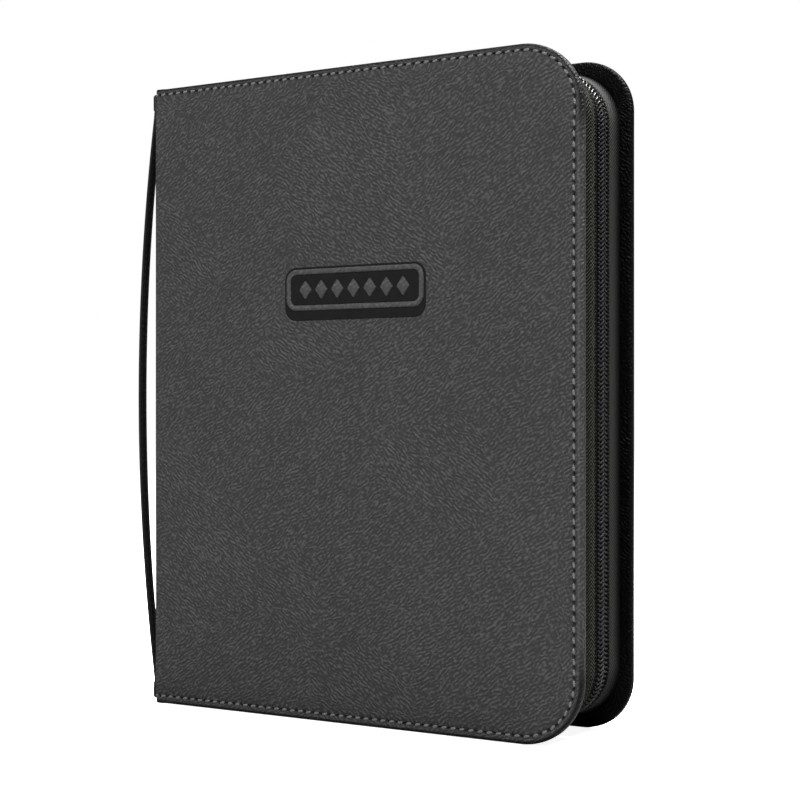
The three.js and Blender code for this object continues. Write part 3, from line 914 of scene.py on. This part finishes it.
def ring_solid(outline, width, rings):
    """A raised closed frame: rings of (share across the frame, height)."""
    count = len(outline[0])
    points, _, rest = moulded(outline, [(width * share, height) for share, height in rings])
    faces = strip_faces(len(rings), count, True)
    last = (len(rings) - 1) * count
    faces += [(last + k, last + (k + 1) % count, (k + 1) % count, k) for k in range(count)]
    return points, faces, rest


def placed(shape, position):
    """A shape with its local (u, v, h) points moved by a function."""
    points, faces, rest = shape
    return position(points), faces, rest


def on_front(centre_x, centre_z, lift):
    """Local (u, v, h) on the front cover's face: h stands out of the leather."""
    return lambda p: np.column_stack([centre_x + p[:, 0], -lift - p[:, 2], centre_z + p[:, 1]])


def on_spine(z):
    """Local (u, v, h) on the spine's face: h stands out of the leather."""
    return lambda p: np.column_stack([-p[:, 2], STRAP_Y + p[:, 0], z + p[:, 1]])


BADGE_X = WIDTH / 2 + 0.9
BADGE_Z = 160.7
FRAME_LIFT = 1.5
DIAMOND_COUNT = 7
DIAMOND_PITCH = 7.2
DIAMOND_HALF = (2.9, 3.7)


def diamond_outline():
    """A diamond with blunted tips about the origin, and the direction into it at each station."""
    tips = [np.array((DIAMOND_HALF[0] * math.cos(turn), DIAMOND_HALF[1] * math.sin(turn)))
            for turn in (0, math.pi / 2, math.pi, math.pi * 1.5)]
    places = np.array([here + (there - here) * share
                       for here, there in zip(tips, tips[1:] + tips[:1])
                       for share in (0.08, 0.5, 0.92)])
    return places, -places / np.linalg.norm(places, axis=1, keepdims=True)


def badge():
    """A patch with a raised frame round a row of diamonds."""
    on_badge = on_front(BADGE_X, BADGE_Z, CROWN)
    base = moulded(rounded(62.4, 20.2, 5.0), ((0.0, -0.6), (0.0, 0.05), (0.25, 0.16), (0.6, 0.18)))
    rider("badge_base", placed(base, on_badge), "recess", "badge", "front_cover", "cover_badge")
    raised = ring_solid(rounded(60.6, 15.6, 4.4), 2.0,
                        ((0, 0.1), (0.06, 0.5), (0.22, 0.72), (0.78, 0.72), (0.94, 0.5), (1, 0.1)))
    gem = moulded(diamond_outline(), ((0.0, 0.1), (0.12, 0.5), (0.5, 0.7), (1.0, 0.72)))
    tiles = [placed(raised, lambda p: p + (0, FRAME_LIFT, 0))]
    for k in range(DIAMOND_COUNT):
        shift = (k - (DIAMOND_COUNT - 1) / 2) * DIAMOND_PITCH
        tiles.append(placed(gem, lambda p, shift=shift: p + (shift, FRAME_LIFT, 0)))
    rider("badge_emboss", placed(merge(*tiles), on_badge), "badge", "front_leather", "front_cover")


STRAP_Y = 4.1
STRAP_WIDTH = 4.2
STRAP_BOW = 8.3
STRAP_STAND = 1.9
STRAP_ENDS = (9.0, 236.0)


def strap_line(z):
    """The strap's middle line: its distance out from the spine, and its lean, at a height."""
    low, high = STRAP_ENDS
    half = (high - low) / 2
    along = np.clip((z - (low + high) / 2) / half, -1, 1)
    out = STRAP_STAND + STRAP_BOW * (1 - along * along)
    lean = 2 * STRAP_BOW * along / half
    return -out, np.where(np.abs(along) < 1, lean, 0)


def strap_band():
    """A flat strap with rolled edges and a groove for each row of stitches."""
    levels = np.linspace(STRAP_ENDS[0] - 1.2, STRAP_ENDS[1] + 1.2, 70)
    half = STRAP_WIDTH / 2
    face = [(-half, 0.0), (-half + 0.08, 0.36), (-half + 0.3, 0.58), (-1.25, 0.7), (-0.95, 0.52),
            (-0.65, 0.7), (0.0, 0.74), (0.65, 0.7), (0.95, 0.52), (1.25, 0.7),
            (half - 0.3, 0.58), (half - 0.08, 0.36)]
    section = np.array(face + [(-across, -rise) for across, rise in face])
    around, out = len(section), section[:, 1]
    points, rest = [], []
    for level in levels:
        x, lean = (float(value) for value in strap_line(level))
        stretch = 1 / math.hypot(1, lean)
        points.append(np.column_stack([x - out * stretch, STRAP_Y + section[:, 0],
                                       level + out * stretch * lean]))
        rest.append(np.column_stack([np.full(around, level), run_along(section), np.zeros(around)]))
    shape = (np.concatenate(points), capped(len(levels), around), np.concatenate(rest))
    rider("strap_band", shape, "band", "strap_leather", "strap", "carry_strap")


def strap_seams():
    """Two rows of stitches on each face of the strap."""
    zs = np.arange(STRAP_ENDS[0] + 4, STRAP_ENDS[1] - 4, 2.6)
    seams = []
    for side in (-0.95, 0.95):
        for facing in (-1, 1):
            ends = []
            for level in (zs - 0.85, zs + 0.85):
                x = strap_line(level)[0] - facing * 0.56
                ends.append(np.column_stack([x, np.full(len(zs), STRAP_Y + side), level]))
            up = np.tile((-1.0 * facing, 0.0, 0.0), (len(zs), 1))
            seams.append(capsules(*ends, up, 0.18, 0.12, 6, 4))
    rider("strap_stitches", merge(*seams), "dark_thread", "strap_leather", "strap")


def strap_pad(name, z):
    """The patch that holds one end of the strap to the spine, and its stitches."""
    on_pad = on_spine(z)
    pad = moulded(rounded(7.4, 7.2, 1.4),
                  ((0.1, -0.1), (0.0, 0.3), (0.0, 1.1), (0.2, 1.5), (0.6, 1.72),
                   (1.0, 1.76), (1.3, 1.6), (1.6, 1.78), (2.4, 1.85)))
    rider("strap_pad_" + name, placed(pad, on_pad), "band", "strap_leather", "spine",
          "strap_patch_" + name)
    seam = rounded(4.9, 4.7, 0.6, 2)[0]
    corners = np.concatenate([seam, seam[:1]])
    at = np.linspace(0, run_along(corners)[-1], 11)[:-1]
    height = np.full((len(at), 1), 1.68)
    start, end = (np.hstack([points_at(at + ahead, corners), height]) for ahead in (0.25, 1.45))
    up = np.tile((0.0, 0.0, 1.0), (len(at), 1))
    ticks = capsules(start, end, up, 0.22, 0.18, 6, 4)
    rider("strap_pad_stitches_" + name, placed(ticks, on_pad), "dark_thread", "strap_leather",
          "spine")


badge()
strap_band()
strap_seams()
strap_pad("upper", STRAP_ENDS[1] + 3.8)
strap_pad("lower", STRAP_ENDS[0] - 3.8)


# ---------------------------------------------------------------- slider and pull

SLIDER_X = 15.5
SLIDER_Z = HEIGHT - WALL_INSET - 0.5
PLATE_LOW = 1.4
PLATE = 1.2


def on_slider(level):
    """Local (u, v, h) over the zip: u along the zip, v across it, h out of it."""
    return lambda p: np.column_stack([SLIDER_X + p[:, 0], ZIP_Y + p[:, 1], SLIDER_Z + level + p[:, 2]])


def plate_outline(length, width):
    """A slider plate: broad shoulders and a narrower nose at each end, corners eased."""
    half = width / 2
    end = length / 2
    corners = [(-end, -half * 0.55), (-end * 0.45, -half), (end * 0.55, -half), (end, -half * 0.6),
               (end, half * 0.6), (end * 0.55, half), (-end * 0.45, half), (-end, half * 0.55)]
    places, inward = [], []
    for k, corner in enumerate(corners):
        before, after = np.array(corners[k - 1]), np.array(corners[(k + 1) % len(corners)])
        here = np.array(corner)
        for share in (0.0, 0.25, 0.5, 0.75, 1.0):
            first = here + (before - here) * 0.22 * (1 - share)
            second = here + (after - here) * 0.22 * share
            spot = first * (1 - share) + second * share
            places.append(spot)
            inward.append(-spot / np.linalg.norm(spot))
    return np.array(places), np.array(inward)


def tube(line, radius, around=10):
    """A round wire along a list of points in one plane of constant Y."""
    line = np.asarray(line, float)
    side = np.array((0.0, 1.0, 0.0))
    points = []
    for k, here in enumerate(line):
        ahead = line[min(k + 1, len(line) - 1)] - line[max(k - 1, 0)]
        rise = np.cross(ahead / np.linalg.norm(ahead), side)
        for step in range(around):
            turn = 2 * math.pi * step / around
            points.append(here + radius * (math.cos(turn) * side + math.sin(turn) * rise))
    points = np.array(points)
    return points, capped(len(line), around, True), points.copy()


def slider():
    """Two plates joined by a post, and the bail that the pull tab hangs from."""
    outline = plate_outline(13.0, 8.4)
    top = moulded(outline, ((0.25, 0.0), (0.0, 0.2), (0.0, 0.75), (0.25, 1.05), (0.8, 1.2), (1.6, 1.3)))
    low = moulded(outline, ((1.2, -1.25), (0.5, -1.15), (0.0, -0.8), (0.0, -0.2), (0.25, 0.0)))
    post = moulded(rounded(3.2, 0.7, 0.3, 3), ((0.0, -0.4), (0.0, 3.2)))
    body = merge(placed(top, on_slider(PLATE_LOW)), placed(low, on_slider(-PLATE_LOW)),
                 placed(post, on_slider(-PLATE_LOW)))
    rider("slider_shell", body, "metal", "zip_metal", "slider", "slider_body")
    arch = [(-2.3, 0, -0.1), (-2.3, 0, 1.1)]
    arch += [(-2.3 + 0.95 * (1 - math.cos(turn)), 0, 1.35 + math.sin(turn))
             for turn in np.linspace(0, math.pi / 2, 6)]
    arch += [(-x, 0, z) for x, _, z in reversed(arch)]
    wire = placed(tube(arch, 0.5), on_slider(PLATE_LOW + PLATE))
    rider("slider_wire", wire, "metal", "zip_metal", "slider", "slider_bail")


def pull_tab():
    """A rounded blade with an eye at one end and grip ribs near the other."""
    half = 2.7
    neck = [(-0.5, -1.9), (3.6, -1.95), (6.6, -half)]
    tip = [(18.3 + half * math.cos(turn), half * math.sin(turn))
           for turn in np.linspace(-math.pi / 2, math.pi / 2, 13)]
    outer = np.array(neck + tip + [(x, -y) for x, y in reversed(neck)])
    eye = np.array([(0.5, -0.9), (2.0, -0.95), (3.4, -0.9), (3.7, -0.5),
                    (3.7, 0.5), (3.4, 0.9), (2.0, 0.95), (0.5, 0.9)])
    centre = outer.mean(axis=0)
    around, count = len(outer), len(eye)
    rings = [np.column_stack([outer + (centre - outer) * draw_in, np.full(around, height)])
             for draw_in, height in ((0.024, -0.52), (0.0, -0.3), (0.0, 0.3), (0.024, 0.52))]
    holes = [np.column_stack([eye, np.full(count, height)]) for height in (-0.52, 0.52)]
    points = np.concatenate([*rings, *holes])
    faces = strip_faces(len(rings), around, True)
    eye_at = len(rings) * around
    for k in range(count):
        after = (k + 1) % count
        faces.append((eye_at + after, eye_at + k, eye_at + count + k, eye_at + count + after))
    for ring_at, hole_at, flip in ((0, eye_at, True), (eye_at - around, eye_at + count, False)):
        at = [*range(ring_at, ring_at + around), *range(hole_at, hole_at + count)]
        edges = [(k, (k + 1) % around) for k in range(around)]
        edges += [(around + k, around + (k + 1) % count) for k in range(count)]
        found = delaunay_2d_cdt([Vector(points[index][:2]) for index in at], edges, [], 1, 1e-6)
        for face in found[2]:
            source = [found[3][index][0] for index in face]
            if all(index >= around for index in source):
                continue
            real = tuple(at[index] for index in source)
            faces.append(real[::-1] if flip else real)
    ribs = [capsules([(x, -1.7, side * 0.5)], [(x, 1.7, side * 0.5)], [(0, 0, side)], 0.3, 0.22, 6, 5)
            for x in 13.4 + 1.25 * np.arange(5) for side in (-1, 1)]
    blade = placed(merge((points, faces, points.copy()), *ribs), on_slider(PLATE_LOW + PLATE + 0.85))
    rider("pull_plate", blade, "metal", "zip_metal", "pull", "pull_tab")


slider()
pull_tab()


# ---------------------------------------------------------------- card pages

PAGE_COUNT = 20
PAGE_PITCH = 1.62
PAGE_STAGGER = 0.8
PAGE_ROOT = 4.3
PAGE_TIP = 172.0
PAGE_LOW, PAGE_HIGH = 15.5, 229.5
PAGE_HEM = 2.0
WELD_HALF = 0.7
FILM_HALF = 0.17
ROOT_HALF = 0.14
POCKET_RISE = 0.15


def between_welds(welds, steps):
    """Grid lines for each pocket: its middle, and steps in from the weld at either side."""
    lines = []
    for weld, following in zip(welds, welds[1:]):
        lines += [weld, (weld + following) / 2]
        lines += [weld + step for step in steps] + [following - step for step in steps]
    return lines


def away(value, welds):
    return np.min([np.abs(value - weld) for weld in welds], axis=0)


def slab_faces(nx, nz):
    """Faces of a closed slab of two nx by nz grids, the near one first."""
    total = nx * nz
    faces = []
    for i in range(nx - 1):
        for j in range(nz - 1):
            a, b = i * nz + j, (i + 1) * nz + j
            faces.append((a, b, b + 1, a + 1))
            faces.append((total + a, total + a + 1, total + b + 1, total + b))
    rim = [i * nz for i in range(nx)] + [(nx - 1) * nz + j for j in range(1, nz)]
    rim += [i * nz + nz - 1 for i in range(nx - 2, -1, -1)] + list(range(nz - 2, 0, -1))
    for here, after in zip(rim, rim[1:] + rim[:1]):
        faces.append((after, here, total + here, total + after))
    return faces


def page(index):
    """A pocket page: pockets that stand a little proud between welds, and a thin flexible root."""
    root = PAGE_ROOT + PAGE_STAGGER * min(index, PAGE_COUNT - 1 - index)
    middle_y = DEPTH / 2 + (index - (PAGE_COUNT - 1) / 2) * PAGE_PITCH
    margin, edge = root + 7.0, PAGE_TIP - PAGE_HEM
    half_z = (PAGE_LOW + PAGE_HIGH) / 2
    welds_x = (margin, (margin + edge) / 2, edge)
    welds_z = (PAGE_LOW + PAGE_HEM, half_z, PAGE_HIGH - PAGE_HEM)
    xs = [root + step for step in (-0.9, -0.3, 0.3, 0.9, 1.5, 2.4, 4.5)]
    xs += [weld - WELD_HALF for weld in welds_x] + [edge, PAGE_TIP - 1.2, PAGE_TIP]
    xs += between_welds(welds_x, (2.5, 8)) + [weld + WELD_HALF for weld in welds_x[:-1]]
    zs = [PAGE_LOW, PAGE_LOW + 1.2, PAGE_HIGH - PAGE_HEM, PAGE_HIGH - 1.2, PAGE_HIGH]
    zs += between_welds(welds_z, (WELD_HALF, 2.5, 10, 30))
    xs, zs = np.array(sorted(xs)), np.array(sorted(zs))
    grid_x, grid_z = np.meshgrid(xs, zs, indexing="ij")
    pocket = ease(away(grid_x, welds_x), 0.2, 2.6) * ease(away(grid_z, welds_z), 0.2, 2.6)
    inside = (margin < grid_x) & (grid_x < edge)
    inside &= (welds_z[0] < grid_z) & (grid_z < welds_z[-1])
    half = FILM_HALF + np.where(inside, POCKET_RISE * pocket, 0)
    half = np.where(grid_x < root + 1.6, ROOT_HALF, half)
    trim = np.maximum(0, grid_x - (PAGE_TIP - 3)) / 3
    by_corner = np.abs(grid_z - half_z) > 104
    grid_z = half_z + (grid_z - half_z) * (1 - 0.0085 * trim ** 2 * by_corner)
    sides = [np.column_stack([grid_x.ravel(), (middle_y + side * half).ravel(), grid_z.ravel()])
             for side in (-1, 1)]
    points = np.concatenate(sides)
    number = f"{index + 1:02d}"
    made = piece("page_pockets_" + number, points, slab_faces(*grid_x.shape), points[:, (0, 2, 1)],
                 "film", "page_film", 25)
    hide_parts("pocket_page_" + number)
    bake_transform(made)


for page_index in range(PAGE_COUNT):
    page(page_index)


# ---------------------------------------------------------------- carried-over CAD pieces

CARRIED = {
    "front_cover_padding": "foam", "back_cover_padding": "foam",
    "front_cover_board": "board", "back_cover_board": "board", "spine_board": "board",
    "front_cover_lining": "lining", "back_cover_lining": "lining", "spine_lining": "lining",
    "front_zip_stop_upper": "clamp", "front_zip_stop_lower": "clamp",
    "back_zip_stop_upper": "clamp", "back_zip_stop_lower": "clamp",
    "page_binding": "margin",
}
for node_name, look_name in CARRIED.items():
    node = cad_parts[node_name]
    node.data.materials.clear()
    node.data.materials.append(LOOKS[look_name].material)
